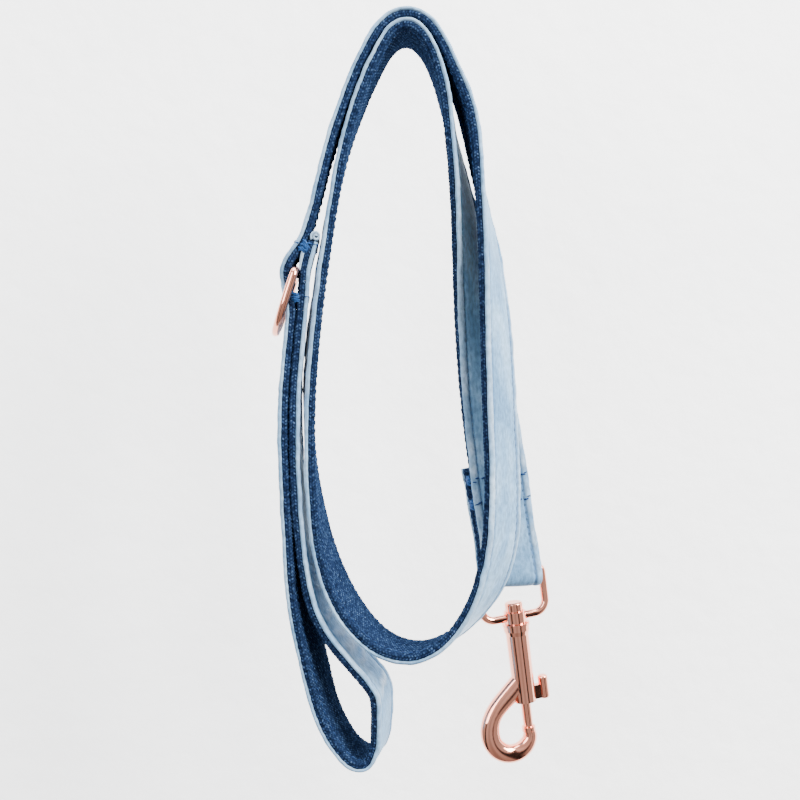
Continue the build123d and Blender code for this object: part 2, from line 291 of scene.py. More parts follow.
def tube_faces(rows, columns, closed_ends=True):
    """The quads of a tube of rings, and a face over each end."""
    ring = np.arange(columns)
    onward = np.roll(ring, -1)
    start = np.arange(rows - 1)[:, None] * columns
    quads = np.stack(
        [start + ring, start + onward, start + columns + onward, start + columns + ring], axis=-1
    ).reshape(-1, 4).tolist()
    if closed_ends:
        quads.append(ring[::-1].tolist())
        quads.append((ring + (rows - 1) * columns).tolist())
    return quads


def set_attribute(mesh, name, values):
    layer = mesh.attributes.new(name, "FLOAT", "POINT")
    layer.data.foreach_set("value", np.ascontiguousarray(values, dtype=np.float32).ravel())


def add_strap_coordinates(mesh, lengths, girth):
    """A UV map in metres: the distance round the section, and the length along the strap."""
    layer = mesh.uv_layers.new(name="strap")
    corners = np.empty(len(mesh.loops), dtype=np.int32)
    mesh.loops.foreach_get("vertex_index", corners)
    both = np.stack([girth.ravel()[corners], lengths.ravel()[corners]], axis=1)
    layer.data.foreach_set("uv", both.astype(np.float32).ravel())


def strap_mesh(name, lengths, across, rise, girth, attributes):
    """A closed mesh along the strap, from the rings' across and rise."""
    points = on_strap(lengths[:, None], across, rise)
    rows, columns = across.shape
    mesh = bpy.data.meshes.new(name)
    mesh.from_pydata(points.reshape(-1, 3).tolist(), [], tube_faces(rows, columns))
    add_strap_coordinates(mesh, np.broadcast_to(lengths[:, None], across.shape), girth)
    for key, values in attributes.items():
        set_attribute(mesh, key, values)
    return mesh


def threads_mesh(name, paths, radius, sides=6):
    """Closed tubes of thread along paths, an array of path, point, x y z, with tapered ends."""
    paths = np.asarray(paths)
    count, steps, _ = paths.shape
    onward = unit(np.gradient(paths, axis=1))
    # a side direction that is never along the thread
    lead = np.where(np.abs(onward[:, :1, 2:]) < 0.9, [[[0.0, 0.0, 1.0]]], [[[1.0, 0.0, 0.0]]])
    side = unit(np.cross(onward, np.broadcast_to(lead, onward.shape)))
    other = np.cross(onward, side)
    angle = np.linspace(0, 2 * np.pi, sides, endpoint=False)
    swell = np.sqrt(np.clip(1 - np.linspace(-1, 1, steps) ** 6, 0.25, 1)) * radius
    rings = (
        side[:, :, None] * np.cos(angle)[:, None] + other[:, :, None] * np.sin(angle)[:, None]
    )
    points = paths[:, :, None] + rings * swell[:, None, None]
    one = tube_faces(steps, sides)
    per_thread = steps * sides
    faces = [[corner + k * per_thread for corner in face] for k in range(count) for face in one]
    mesh = bpy.data.meshes.new(name)
    mesh.from_pydata(points.reshape(-1, 3).tolist(), [], faces)
    return mesh


# ---------------------------------------------------------------- material helpers
def new_material(name):
    material = bpy.data.materials.new(name)
    material.use_nodes = True
    return material, material.node_tree.nodes, material.node_tree.links


def node(nodes, kind, **values):
    """A new node, its properties set by name and its sockets by name where they are inputs."""
    made = nodes.new(kind)
    for key, value in values.items():
        if hasattr(made, key):
            setattr(made, key, value)
        else:
            made.inputs[key.replace("_", " ")].default_value = value
    return made


def ramp(nodes, links, factor, stops):
    """A colour ramp with stops of position and grey or colour."""
    made = nodes.new("ShaderNodeValToRGB")
    elements = made.color_ramp.elements
    while len(elements) < len(stops):
        elements.new(0.5)
    for element, (position, colour) in zip(elements, stops):
        element.position = position
        element.color = (colour,) * 3 + (1,) if isinstance(colour, float) else (*colour, 1)
    links.new(factor, made.inputs["Fac"])
    return made.outputs["Color"]


def mixed(nodes, links, factor, low, high, blend="MIX"):
    """Two colours mixed. Each is a socket or a colour, and the factor a socket or a number."""
    made = nodes.new("ShaderNodeMix")
    made.data_type = "RGBA"
    made.blend_type = blend
    for socket, value in ((made.inputs[0], factor), (made.inputs[6], low), (made.inputs[7], high)):
        if isinstance(value, bpy.types.NodeSocket):
            links.new(value, socket)
        else:
            socket.default_value = value if isinstance(value, (int, float)) else (*value, 1)
    return made.outputs[2]


def noise(nodes, links, vector, scale, detail=3.0, stretch=(1, 1, 1)):
    """A noise texture's value at a vector, stretched along its axes."""
    mapping = nodes.new("ShaderNodeMapping")
    mapping.inputs["Scale"].default_value = stretch
    links.new(vector, mapping.inputs["Vector"])
    made = nodes.new("ShaderNodeTexNoise")
    made.inputs["Scale"].default_value = scale
    made.inputs["Detail"].default_value = detail
    links.new(mapping.outputs["Vector"], made.inputs["Vector"])
    return made.outputs["Fac"]


def span(nodes, links, value, low, high):
    """A value's place from 0 to 1 between two others."""
    made = nodes.new("ShaderNodeMapRange")
    made.inputs["From Min"].default_value = low
    made.inputs["From Max"].default_value = high
    links.new(value, made.inputs["Value"])
    return made.outputs["Result"]


def bumped(nodes, links, height, strength, distance, below=None):
    made = nodes.new("ShaderNodeBump")
    made.inputs["Strength"].default_value = strength
    made.inputs["Distance"].default_value = distance
    links.new(height, made.inputs["Height"])
    if below is not None:
        links.new(below, made.inputs["Normal"])
    return made.outputs["Normal"]


# ---------------------------------------------------------------- materials
def webbing_material():
    """Blue woven webbing with fine filaments: painted highlight makes the tops of the picks bright, and
    painted shade darkens the hollows between them to navy.
    """
    material, nodes, links = new_material("blue_webbing")
    shader = nodes["Principled BSDF"]
    strap = node(nodes, "ShaderNodeUVMap", uv_map="strap").outputs["UV"]
    relief = node(nodes, "ShaderNodeAttribute", attribute_name="relief").outputs["Fac"]
    filaments = noise(nodes, links, strap, 1500, 2, (3.0, 0.9, 1))
    flecks = noise(nodes, links, strap, 1100, 2)
    patches = noise(nodes, links, strap, 90, 3)
    # painted shade and highlight: the lower the weave's relief, the darker the blue, near black in the
    # hollows, and the higher, the brighter
    colour = ramp(nodes, links, relief, [
        (0.0, WEBBING_HOLLOW_SHADE), (0.38, WEBBING_LOW), (0.72, WEBBING_MIDDLE), (1.0, WEBBING_TOP_HIGHLIGHT),
    ])
    for share, texture, stops in (
        (0.5, filaments, [(0.3, 0.45), (0.7, 1.0)]),
        (0.75, flecks, [(0.38, 0.3), (0.62, 1.0)]),
        (0.3, patches, [(0.3, 0.65), (0.7, 1.0)]),
    ):
        colour = mixed(nodes, links, share, colour, ramp(nodes, links, texture, stops), "MULTIPLY")
    links.new(colour, shader.inputs["Base Color"])
    links.new(ramp(nodes, links, filaments, [(0.2, 0.7), (0.8, 0.9)]), shader.inputs["Roughness"])
    links.new(bumped(nodes, links, filaments, 0.6, 0.15 * MM), shader.inputs["Normal"])
    shader.inputs["Specular IOR Level"].default_value = 0.0
    return material


def velvet_material():
    """Dusty blue velvet: a soft sheen, the pile's grain, patches where it is brushed, paler
    pile where it is creased, painted highlight on the puffed lips and painted shade in the
    stitched grooves."""
    material, nodes, links = new_material("blue_velvet")
    shader = nodes["Principled BSDF"]
    strap = node(nodes, "ShaderNodeUVMap", uv_map="strap").outputs["UV"]
    groove_shade = node(nodes, "ShaderNodeAttribute", attribute_name="groove_shade").outputs["Fac"]
    # worn blends in the pale velvet colour: paler rubbed pile at the creases, and painted highlight on the
    # puffed lips
    worn = node(nodes, "ShaderNodeAttribute", attribute_name="worn").outputs["Fac"]
    pile = noise(nodes, links, strap, 2600, 3)
    grain = noise(nodes, links, strap, 700, 4, (1, 0.5, 1))
    brushed = noise(nodes, links, strap, 75, 5, (1, 0.45, 1))
    colour = ramp(nodes, links, brushed, [(0.36, VELVET_LOW), (0.5, VELVET), (0.64, VELVET_TOP)])
    colour = mixed(nodes, links, worn, colour, VELVET_RUBBED_AND_HIGHLIGHT)
    colour = mixed(nodes, links, 0.5, colour, ramp(nodes, links, grain, [
        (0.38, 0.4), (0.62, 1.0),
    ]), "MULTIPLY")
    colour = mixed(nodes, links, 0.35, colour, ramp(nodes, links, pile, [
        (0.3, 0.6), (0.65, 1.0),
    ]), "MULTIPLY")
    # painted shade: the stitched grooves are darkened
    colour = mixed(nodes, links, groove_shade, colour, VELVET_GROOVE_SHADE)
    links.new(colour, shader.inputs["Base Color"])
    links.new(ramp(nodes, links, brushed, [(0.3, 0.82), (0.7, 0.95)]), shader.inputs["Roughness"])
    low = bumped(nodes, links, grain, 0.4, 0.4 * MM)
    links.new(bumped(nodes, links, pile, 0.45, 0.15 * MM, low), shader.inputs["Normal"])
    shader.inputs["Sheen Weight"].default_value = 0.8
    shader.inputs["Sheen Roughness"].default_value = 0.3
    shader.inputs["Sheen Tint"].default_value = (0.72, 0.86, 1.0, 1)
    shader.inputs["Specular IOR Level"].default_value = 0.04
    return material


def thread_material(name, colour, light):
    """Twisted sewing thread."""
    material, nodes, links = new_material(name)
    shader = nodes["Principled BSDF"]
    place = node(nodes, "ShaderNodeNewGeometry").outputs["Position"]
    twist = noise(nodes, links, place, 2200, 2)
    links.new(ramp(nodes, links, twist, [(0.3, colour), (0.7, light)]), shader.inputs["Base Color"])
    links.new(bumped(nodes, links, twist, 0.5, 0.1 * MM), shader.inputs["Normal"])
    shader.inputs["Roughness"].default_value = 0.7
    shader.inputs["Specular IOR Level"].default_value = 0.15
    return material


def metal_material(name, colour, worn, rough):
    """Plated metal: faint polishing marks, and slightly duller patches."""
    material, nodes, links = new_material(name)
    shader = nodes["Principled BSDF"]
    place = node(nodes, "ShaderNodeNewGeometry").outputs["Position"]
    dull = noise(nodes, links, place, 160, 4)
    marks = noise(nodes, links, place, 900, 3, (1, 1, 0.2))
    links.new(ramp(nodes, links, dull, [(0.35, colour), (0.7, worn)]), shader.inputs["Base Color"])
    links.new(
        ramp(nodes, links, dull, [(0.35, rough), (0.75, rough + 0.09)]), shader.inputs["Roughness"]
    )
    links.new(bumped(nodes, links, marks, 0.05, 0.05 * MM), shader.inputs["Normal"])
    shader.inputs["Metallic"].default_value = 1.0
    return material


# the webbing's relief colours, from painted shade in the weave's hollows to painted highlight on the picks'
# tops
WEBBING_HOLLOW_SHADE = (0.005, 0.010, 0.028)
WEBBING_LOW = (0.014, 0.028, 0.074)
WEBBING_MIDDLE = (0.046, 0.090, 0.188)
WEBBING_TOP_HIGHLIGHT = (0.200, 0.310, 0.480)
VELVET_LOW = (0.130, 0.275, 0.460)
VELVET = (0.195, 0.370, 0.580)
VELVET_TOP = (0.300, 0.490, 0.700)
# the pale velvet of the rubbed creases, and of the painted highlight on the lips
VELVET_RUBBED_AND_HIGHLIGHT = (0.62, 0.72, 0.82)
# painted shade in the stitched grooves
VELVET_GROOVE_SHADE = (0.070, 0.150, 0.290)
THREAD_DARK = (0.006, 0.020, 0.072)
THREAD_DARK_LIGHT = (0.018, 0.058, 0.165)
KNOT = (0.006, 0.030, 0.110)
KNOT_LIGHT = (0.022, 0.090, 0.260)
SEAM_DARK = (0.07, 0.13, 0.23)
SEAM_LIGHT = (0.15, 0.25, 0.38)
ROSE_GOLD = (1.0, 0.43, 0.30)
ROSE_GOLD_WORN = (0.97, 0.385, 0.265)
STEEL = (0.55, 0.55, 0.56)
STEEL_WORN = (0.45, 0.45, 0.46)
POLISHED = 0.07
SPRING_ROUGH = 0.25

webbing_cloth = webbing_material()
velvet_cloth = velvet_material()
dark_thread = thread_material("navy_thread", THREAD_DARK, THREAD_DARK_LIGHT)
knot_thread = thread_material("knot_thread", KNOT, KNOT_LIGHT)
seam_thread = thread_material("seam_thread", SEAM_DARK, SEAM_LIGHT)
rose_gold = metal_material("rose_gold", ROSE_GOLD, ROSE_GOLD_WORN, POLISHED)
spring_steel = metal_material("spring_steel", STEEL, STEEL_WORN, SPRING_ROUGH)


# ---------------------------------------------------------------- webbing
CORNER = 0.9 * MM  # the webbing's rounded edge corners
WEAVE_STEP = 0.42 * MM  # between points, along and across
HIDDEN_COLUMNS = 5  # under the velvet, where nothing shows
EDGE_DRAW = 0.34 * MM  # how far each edge stitch draws the webbing's edge in


def webbing_outline():
    """Across, rise, normal and girth of the webbing's section, from one edge's foot round the
    face to the other's, and back under the velvet."""
    flat = STRAP_WIDTH - 2 * CORNER
    side = WEBBING_THICK - CORNER
    arc = CORNER * math.pi / 2
    girth = np.arange(0, 2 * side + 2 * arc + flat, WEAVE_STEP)
    across, rise, out_across, out_rise = [], [], [], []
    for at in girth:
        if at < side:
            point = (-HALF_WIDTH, at, -1, 0)
        elif at < side + arc:
            turn = (at - side) / CORNER
            point = (
                -HALF_WIDTH + CORNER * (1 - math.cos(turn)), side + CORNER * math.sin(turn),
                -math.cos(turn), math.sin(turn),
            )
        elif at < side + arc + flat:
            point = (-HALF_WIDTH + CORNER + at - side - arc, WEBBING_THICK, 0, 1)
        elif at < side + 2 * arc + flat:
            turn = (at - side - arc - flat) / CORNER
            point = (
                HALF_WIDTH - CORNER * (1 - math.sin(turn)), side + CORNER * math.cos(turn),
                math.sin(turn), math.cos(turn),
            )
        else:
            point = (HALF_WIDTH, 2 * side + 2 * arc + flat - at, 1, 0)
        for values, value in zip((across, rise, out_across, out_rise), point):
            values.append(value)
    for share in np.linspace(1, -1, HIDDEN_COLUMNS + 2)[1:-1]:
        for values, value in zip((across, rise, out_across, out_rise), (share * HALF_WIDTH, 0, 0, -1)):
            values.append(value)
    girth = np.append(girth, np.full(HIDDEN_COLUMNS, -1.0))
    return [np.array(values) for values in (across, rise, out_across, out_rise)] + [girth]


def pebbles(lengths, girth):
    """The weave's relief from 0 to 1: slanted picks of uneven height, leaning the other way
    in every second column."""
    girth = np.maximum(girth, 0)
    column = np.floor(girth / RIB_PITCH).astype(int)
    inside = girth / RIB_PITCH - column - 0.5
    lean = np.where(column % 2, 1, -1)
    phase = lengths / PICK_PITCH + 0.37 * (column % 3) + 0.55 * inside * lean
    picks = phase.astype(int)
    heights = np.random.default_rng(8).uniform(0.45, 1, (picks.max() + 1, column.max() + 2))
    relief = np.abs(np.sin(np.pi * phase)) ** 0.8 * np.cos(np.pi * inside * 0.9) ** 0.7
    return relief * heights[picks, column]


def webbing_piece(name, start, end):
    """The woven webbing from one length along the strap to another."""
    lengths = np.linspace(start, end, round((end - start) / WEAVE_STEP) + 1)
    across, rise, out_across, out_rise, girth = webbing_outline()
    relief = pebbles(lengths[:, None], girth[None])
    relief = np.where(girth >= 0, relief, 0.5)
    lift = np.where(girth >= 0, (relief - 0.6) * WEAVE_RISE, 0)
    lift = lift + wander(lengths, 7 * MM, 3)[:, None] * 0.10 * MM * (girth >= 0)
    # the edge stitching draws the edges in once a stitch
    edges = np.abs(out_across) * (girth >= 0)
    drawn = np.abs(np.sin(np.pi * lengths / SEAM_PITCH))[:, None] - 0.5
    lift = lift + edges * (drawn * EDGE_DRAW + wander(lengths, 5 * MM, 4)[:, None] * 0.12 * MM)
    rings_across = across + out_across * lift
    rings_rise = rise + out_rise * lift
    mesh = strap_mesh(
        name, lengths, rings_across, rings_rise, np.broadcast_to(girth, relief.shape),
        {"relief": relief},
    )
    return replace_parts(finished(name, mesh, webbing_cloth, "lead"), "strap_webbing")


def path_between(start, end):
    """The middle of the webbing's thickness between two lengths."""
    lengths = np.linspace(start, end, round((end - start) / (2 * MM)) + 1)
    return on_strap(lengths, 0.0, WEBBING_THICK / 2 - VELVET_THICK / 2)


hook_middle = nearest_length((0.0040, 0.0, 0.0058))
handle_foot = nearest_length((-0.0130, 0.0, -0.2945))
long_webbing = webbing_piece("webbing_to_snap", 0, hook_middle)
hand_webbing = webbing_piece("webbing_to_hand", hook_middle, handle_foot)
loop_webbing = webbing_piece("webbing_hand_loop_end", handle_foot, STRAP_LENGTH)

path_between(0, hook_middle)
LINE[ALONG.searchsorted(hook_middle)]
path_between(hook_middle, handle_foot)
LINE[ALONG.searchsorted(handle_foot)]
path_between(handle_foot, STRAP_LENGTH)


# ---------------------------------------------------------------- velvet facing
LIP_THICK = 1.75 * MM  # the turned-under edge, outside the edge stitching
GROOVE_THICK = 0.95 * MM
MIDDLE_THICK = 1.45 * MM
VELVET_STEP = 0.75 * MM  # along
SEAM_AT = HALF_WIDTH - SEAM_INSET
# the creases above the handle's bend: millimetres along from it, width and depth
CREASES = [
    (1.5, 2.6, 0.7), (14, 2.4, 0.45), (21, 4.5, 1.0), (28, 3.4, 0.75), (36, 2.6, 0.9),
    (48, 2.0, 0.8), (56, 1.8, 1.0),
]
LIP_MIDDLE = 11.4 * MM  # across, where the turned-under edge is fullest
LIP_SPREAD = 2.4 * MM
GROOVE_SPREAD = 1.0 * MM  # of the dip that the edge stitching draws
SEAM_SIDE_COLUMNS = 7  # on the face that lies against the webbing
SLACK = ((17, 0.22), (6.5, 0.16), (3.3, 0.08))  # waves between the seams: period and size, mm

handle_bend = nearest_length((-0.0122, 0.0, -0.2675))


def velvet_columns():
    """Across positions over the outer face, close together at the lips and grooves."""
    lip = np.array([
        -12.2, -12.62, -12.85, -12.8, -12.5, -12.0, -11.4, -10.7, -10.2, -9.85, -9.5, -9.15, -8.7,
    ])
    middle = np.linspace(-8.0, 8.0, 15)
    return np.concatenate([lip, middle, -lip[::-1]]) * MM


def velvet_depths(columns):
    """The outer face's depth under the seam, before it is rumpled."""
    edge = np.array([0.12, 0.30, 0.62, 0.98, 1.36, 1.62, 1.72]) * MM
    depths = np.where(np.abs(columns) > SEAM_AT, LIP_THICK, MIDDLE_THICK)
    depths = depths + 0.22 * MM * np.cos(columns / SEAM_AT * math.pi / 2) * (np.abs(columns) < SEAM_AT)
    depths = depths - (depths - GROOVE_THICK) * bump(np.abs(columns) - SEAM_AT, GROOVE_SPREAD)
    depths[: len(edge)] = edge
    depths[-len(edge):] = edge[::-1]
    return depths


def creases(lengths, columns):
    """Where the handle's outer face is creased and rubbed by use, from 0 to 1."""
    rubbed = np.zeros(np.broadcast_shapes(lengths.shape, columns.shape))
    for k, (offset, width, size) in enumerate(CREASES):
        slant = columns * (0.25 - 0.1 * k) + wander(columns + 0.05, 4 * MM, 40 + k) * 1.1 * MM
        at = handle_bend + offset * MM + slant
        rubbed = np.maximum(rubbed, bump(lengths - at, width * MM) * size)
    return rubbed


def velvet_piece():
    """The velvet strip with its puffed lips, stitched grooves, slack and creases."""
    lengths = np.linspace(0, STRAP_LENGTH, round(STRAP_LENGTH / VELVET_STEP) + 1)
    columns = velvet_columns()
    depths = velvet_depths(columns)
    along = lengths[:, None]
    lips = bump(np.abs(columns) - LIP_MIDDLE, LIP_SPREAD)
    middles = np.clip(1 - (np.abs(columns) / SEAM_AT) ** 4, 0, 1)
    grooves = bump(np.abs(columns) - SEAM_AT, GROOVE_SPREAD)
    depth = np.broadcast_to(depths, (len(lengths), len(columns))).copy()
    # the lips puff between stitches and wander a little
    puff = 0.5 + 0.5 * np.cos(2 * np.pi * along / SEAM_PITCH)
    for side, seed in ((-1, 11), (1, 12)):
        own = (np.sign(columns) == side) * lips
        depth += own * (wander(along, 6 * MM, seed) * 0.22 + wander(along, 2.1 * MM, seed + 5) * 0.13) * MM
    depth += grooves * puff * 0.22 * MM
    # slack between the two seams
    for k, (period, size) in enumerate(SLACK):
        tilt = columns * (0.8 - 0.5 * k)
        depth += middles * wander(along + tilt, period * MM, 21 + k) * size * MM
    rubbed = creases(along, columns) * middles
    depth += (rubbed * 0.8 - 0.35 * creases(along - 2.2 * MM, columns) * middles) * MM
    edge = np.abs(columns) > 12.1 * MM
    sway = (wander(along, 9 * MM, 31) * 0.2 + wander(along, 3.1 * MM, 32) * 0.14) * MM
    across = columns + edge * sway * np.sign(columns)
    seam_side = np.linspace(11.9, -11.9, SEAM_SIDE_COLUMNS) * MM
    across = np.concatenate([across, np.broadcast_to(seam_side, (len(lengths), SEAM_SIDE_COLUMNS))], axis=1)
    against = np.full((len(lengths), SEAM_SIDE_COLUMNS), 0.02 * MM)
    depth = np.concatenate([depth, against], axis=1)
    # painted shade in the stitched grooves, dashed at the stitch pitch
    groove_shade = grooves * 0.85 * (0.35 + 0.65 * puff)
    # paler rubbed pile at the creases, and painted highlight on the puffed lips
    lit = np.clip(rubbed * 0.8 + lips * (0.28 + 0.22 * wander(along, 5 * MM, 33)), 0, 1)
    plain = np.zeros((len(lengths), len(seam_side)))
    groove_shade = np.concatenate([groove_shade, plain], axis=1)
    lit = np.concatenate([lit, plain], axis=1)
    girth = np.broadcast_to(np.concatenate([columns, seam_side]), across.shape)
    # the ring runs the other way round than the webbing's, so it is turned over
    order = slice(None, None, -1)
    mesh = strap_mesh(
        "velvet_facing_cloth", lengths, across[:, order], -depth[:, order], girth[:, order],
        {"groove_shade": groove_shade[:, order], "worn": lit[:, order]},
    )
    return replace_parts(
        finished("velvet_facing_cloth", mesh, velvet_cloth, "lead"), "velvet_facing"
    )


velvet = velvet_piece()


# ---------------------------------------------------------------- hem
HEM_CENTRE = np.array((-0.0385, 0.0, -0.0833))
HEM_TURNS = 1.6
HEM_CLOTH = 0.85 * MM
HEM_OVERHANG = 0.3 * MM  # past each edge of the strap
# how far the hem and turned-over end are blended to the pale velvet colour, all over
HEM_PALE_SHARE = 0.35


def hem_piece():
    """The velvet's end rolled over the strap's end, a spiral seen from the front."""
    turn = np.linspace(0, HEM_TURNS * 2 * math.pi, 34)
    radius = np.linspace(0.35, 1.95, len(turn)) * MM
    across = unit(ACROSS[-1])
    sideways = unit(np.cross(across, (0, 0, 1)))
    upward = np.cross(sideways, across)
    rows = []
    half_long = HALF_WIDTH + HEM_OVERHANG
    for number, at in enumerate(np.linspace(-half_long, half_long, 25)):
        swell = 1 + 0.07 * wander(np.array(number * 3 * MM), 6 * MM, 51)
        squash = 1 + 0.08 * wander(np.array(number * 2 * MM), 7 * MM, 52)
        around = np.stack([np.cos(turn) * squash, np.sin(turn) * swell], axis=1)
        outer = (radius + HEM_CLOTH / 2)[:, None] * around
        inner = np.maximum(radius - HEM_CLOTH / 2, 0.05 * MM)[:, None] * around
        ring = np.concatenate([outer, inner[::-1]])
        rows.append(HEM_CENTRE + across * at + sideways * ring[:, :1] + upward * ring[:, 1:])
    points = np.array(rows)
    count, columns, _ = points.shape
    faces = tube_faces(count, columns, closed_ends=False)
    half = columns // 2
    for row in (0, count - 1):
        for k in range(half - 1):
            face = [k, k + 1, columns - 2 - k, columns - 1 - k]
            faces.append([row * columns + corner for corner in (face if row else face[::-1])])
    mesh = bpy.data.meshes.new("velvet_hem")
    mesh.from_pydata(points.reshape(-1, 3).tolist(), [], faces)
    place = np.broadcast_to(np.arange(count)[:, None] * MM, (count, columns))
    add_strap_coordinates(mesh, place, np.broadcast_to(np.arange(columns) * 0.4 * MM, (count, columns)))
    set_attribute(mesh, "groove_shade", np.zeros((count, columns)))
    set_attribute(mesh, "worn", np.full((count, columns), HEM_PALE_SHARE))
    return finished("velvet_hem", mesh, velvet_cloth, "lead")


hem = hem_piece()


TURNOVER_LONG = 12.5 * MM


def turnover_piece():
    """The velvet's raw end, turned over the strap's end onto the webbing."""
    start = STRAP_LENGTH - TURNOVER_LONG
    lengths = np.linspace(start, STRAP_LENGTH - 1.0 * MM, 16)
    columns = np.linspace(-12.3, 12.3, 30) * MM
    share = (lengths - start) / (lengths[-1] - start)
    thick = (0.35 + 0.75 * np.sin(np.clip(share * 1.3, 0, 1) * math.pi / 2)) * MM
    top = WEBBING_THICK + thick[:, None] + wander(columns[None] + 0.3, 3 * MM, 61) * 0.12 * MM
    low = np.full_like(top, WEBBING_THICK - 0.2 * MM)
    outward = np.broadcast_to(columns, top.shape)
    across = np.concatenate([outward, outward[:, ::-1]], axis=1)
    rise = np.concatenate([top, low[:, ::-1]], axis=1)
    mesh = strap_mesh("velvet_turnover", lengths, across, rise, across, {
        "groove_shade": np.zeros(across.shape), "worn": np.full(across.shape, HEM_PALE_SHARE),
    })
    return finished("velvet_turnover", mesh, velvet_cloth, "lead")


turnover = turnover_piece()


# ---------------------------------------------------------------- edge stitching
def seam_stitches(rise, dip, side, seed):
    """Paths of the edge stitches on one side: each rises out of the cloth and dips back."""
    starts = np.arange(4 * MM, STRAP_LENGTH - 5 * MM, SEAM_PITCH)
    share = np.linspace(0, 1, 6)
    lengths = starts[:, None] + share * SEAM_STITCH
    drift = wander(starts, 14 * MM, seed)[:, None] * 0.18 * MM
    tilt = (share - 0.5) * 0.25 * MM
    height = rise + dip * (1 - np.sin(share * math.pi) ** 0.5)
    return on_strap(lengths, side * SEAM_AT + drift + tilt, np.broadcast_to(height, lengths.shape))


def seam_piece(name, rise, dip, material):
    """Both rows of edge stitching on one face of the strap."""
    paths = np.concatenate([seam_stitches(rise, dip, side, 70 + side) for side in (-1, 1)])
    mesh = threads_mesh(name, paths, SEAM_THREAD / 2)
    return finished(name, mesh, material, "lead")


seam_piece("edge_stitches_on_velvet", -GROOVE_THICK - 0.3 * MM, 0.5 * MM, seam_thread)
seam_piece("edge_stitches_on_webbing", WEBBING_THICK + 0.16 * MM, -0.5 * MM, dark_thread)


# ---------------------------------------------------------------- stitches across the strap
THREAD_SIDES = 8  # of the thick threads' tubes
KNOT_TURNS = 13
KNOT_REACH = 1.5  # mm each way along the strap
LIP_THREAD_SHARE = 0.8  # of the row thread's thickness, where it is drawn tight


def row_paths(length, tilt, seed):
    """A row of stitches over the velvet, at a length along the strap, running askew."""
    random = np.random.default_rng(seed)
    centres = (np.arange(ROW_COUNT) - (ROW_COUNT - 1) / 2) * ROW_PITCH
    share = np.linspace(-0.5, 0.5, 7)
    paths = []
    for centre in centres:
        slant = random.uniform(-0.35, 0.35) * MM
        size = ROW_STITCH * random.uniform(0.85, 1.1)
        rise = -MIDDLE_THICK - 0.42 * MM + 0.75 * MM * (2 * np.abs(share)) ** 3
        at = length + tilt * centre + slant * share * 2
        paths.append(on_strap(at, centre + share * size, rise))
    return paths


def knot_paths(length, depth, seed):
    """Turns of thread heaped over the joint of a doubled strap's two edges, at a row's ends."""
    random = np.random.default_rng(seed)
    turn = np.linspace(-math.pi / 2, math.pi / 2, 9)
    paths = []
    for side in (-1, 1):
        for offset in np.linspace(-KNOT_REACH, KNOT_REACH, KNOT_TURNS):
            proud = random.uniform(0.3, 0.9) * MM
            reach = random.uniform(1.3, 2.1) * MM
            slant = random.uniform(-1.2, 1.2) * MM
            across = side * (HALF_WIDTH - 0.5 * MM + (proud + 0.5 * MM) * np.cos(turn) ** 0.7)
            at = length + offset * MM + slant * np.sin(turn)
            rise = depth / 2 + offset * random.uniform(-0.3, 0.3) * MM + reach * np.sin(turn)
            paths.append(on_strap(at, across, rise))
    return paths


def lip_paths(length, rise, outward, seed):
    """One thread at each end of a row, drawn over the velvet's lip to the knots."""
    random = np.random.default_rng(seed)
    turn = np.linspace(0, math.pi / 2, 9)
    paths = []
    for side in (-1, 1):
        slant = random.uniform(-0.7, 0.7) * MM
        across = side * (HALF_WIDTH - 1.6 * MM + 2.0 * MM * np.sin(turn))
        height = rise + outward * (VELVET_THICK + 0.45 * MM) * np.cos(turn)
        paths.append(on_strap(length + slant * np.cos(turn), across, height))
    return paths


def rows_piece(name, rows, tilt, replaced):
    """Rows of stitches through a doubled strap. Each row has the place of its front side and
    back side, and knots close both of its ends."""
    flat, knots, lips = [], [], []
    for number, (front, back) in enumerate(rows):
        front_length, back_length = nearest_length(front), nearest_length(back)
        flat += row_paths(front_length, tilt, 80 + number) + row_paths(back_length, -tilt, 90 + number)
        depth = np.linalg.norm(np.array(front) - np.array(back))
        knots += knot_paths(front_length, depth, 100 + number)
        lips += lip_paths(front_length, 0.0, -1, 110 + number)
        lips += lip_paths(back_length, 0.0, -1, 120 + number)
    mesh = threads_mesh(name, flat, ROW_THREAD / 2, THREAD_SIDES)
    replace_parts(finished(name, mesh, dark_thread, "lead"), replaced)
    over = threads_mesh(name + "_over_lips", lips, ROW_THREAD / 2 * LIP_THREAD_SHARE, THREAD_SIDES)
    finished(name + "_over_lips", over, dark_thread, "lead")
    around = threads_mesh(name + "_ends", knots, KNOT_THREAD / 2, THREAD_SIDES)
    finished(name + "_ends", around, knot_thread, "lead")


rows_piece("fold_row_stitches", [
    ((0.0400, 0.0140, -0.1918), (0.0385, 0.0195, -0.1918)),
    ((0.0384, 0.0133, -0.1814), (0.0369, 0.0191, -0.1814)),
], -0.1, "fold_stitches")
rows_piece("pocket_row_stitches", [
    ((-0.0448, 0.0, -0.0862), (-0.0396, 0.0, -0.0870)),
    ((-0.0490, 0.0, -0.1086), (-0.0432, 0.0, -0.1076)),
], 0, "pocket_stitches")


# ---------------------------------------------------------------- metal parts
def dress(name, material):
    """A CAD part that stays, with its own finish."""
    part = frame["nodes"][name]
    if not part.material_slots:
        part.data.materials.append(material)
    for slot in part.material_slots:
        slot.material = material


PLATED = ("d_ring", "swivel_eye", "swivel_rivet", "swivel_washer", "hook_body", "bolt", "thumb_knob")
for name in PLATED:
    dress(name, rose_gold)
dress("bolt_spring", spring_steel)


